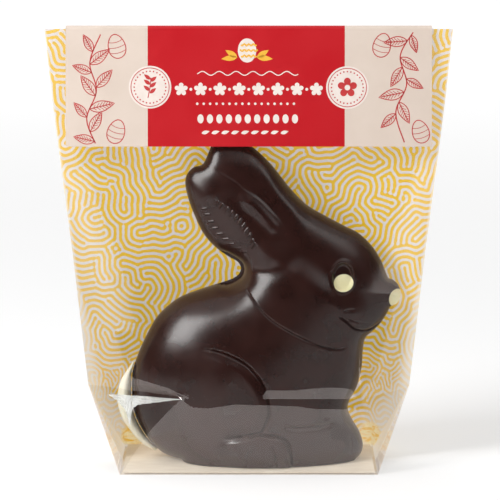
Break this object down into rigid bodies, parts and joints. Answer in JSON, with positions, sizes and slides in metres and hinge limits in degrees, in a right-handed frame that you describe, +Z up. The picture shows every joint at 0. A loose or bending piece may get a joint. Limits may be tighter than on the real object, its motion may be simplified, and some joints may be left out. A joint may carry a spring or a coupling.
{
  "type": "packed chocolate bunny",
  "caption": "Hollow-moulded dark chocolate bunny with white chocolate details, standing in a clear block-bottom bag with a printed back and a folded header card",
  "frame": {"origin": "middle of the pack's floor, on the surface it stands on", "axes": "+X the way the bunny looks, -Y the pack's clear front, +Z up"},
  "size_m": [0.1906, 0.071, 0.206],
  "materials": {
    "dark_chocolate": "gloss",
    "white_chocolate": "satin",
    "clear_film": "gloss",
    "printed_film": "gloss",
    "header_print": "satin",
    "plain_card": "matte"
  },
  "bodies": {
    "root": {"bunny_body": "dark_chocolate", "eye_near": "white_chocolate", "eye_far": "white_chocolate", "nose_dot": "white_chocolate", "tail": "white_chocolate", "film_bag": "clear_film", "header_card": "header_print", "base_card": "plain_card"}
  },
  "joints": []
}
